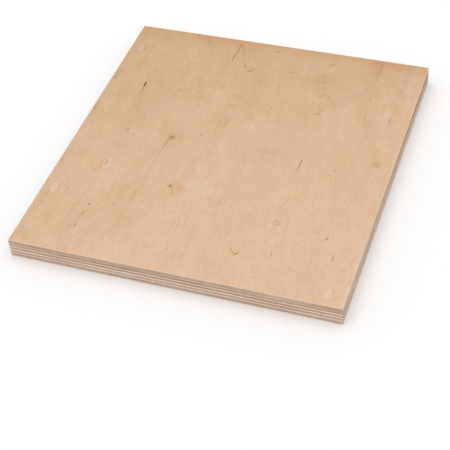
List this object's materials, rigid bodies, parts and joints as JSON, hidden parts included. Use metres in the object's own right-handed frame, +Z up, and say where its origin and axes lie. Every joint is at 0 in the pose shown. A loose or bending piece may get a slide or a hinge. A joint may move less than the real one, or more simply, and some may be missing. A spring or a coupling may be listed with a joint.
{
  "type": "plywood sheet",
  "caption": "Small rectangular sheet of sanded birch plywood, a flat board with plain veneer faces and square sawn edges where its crosswise glued plies show.",
  "frame": {"origin": "middle of the back face, on the surface that the sheet lies on", "axes": "+Z up through the thickness, out of the better face; +Y along that face's grain; +X across it, along the front edge"},
  "size_m": [0.24, 0.26, 0.015],
  "materials": {
    "birch_plywood": "sanded, unfinished"
  },
  "bodies": {
    "root": {"plywood_sheet": "birch_plywood"}
  },
  "joints": []
}
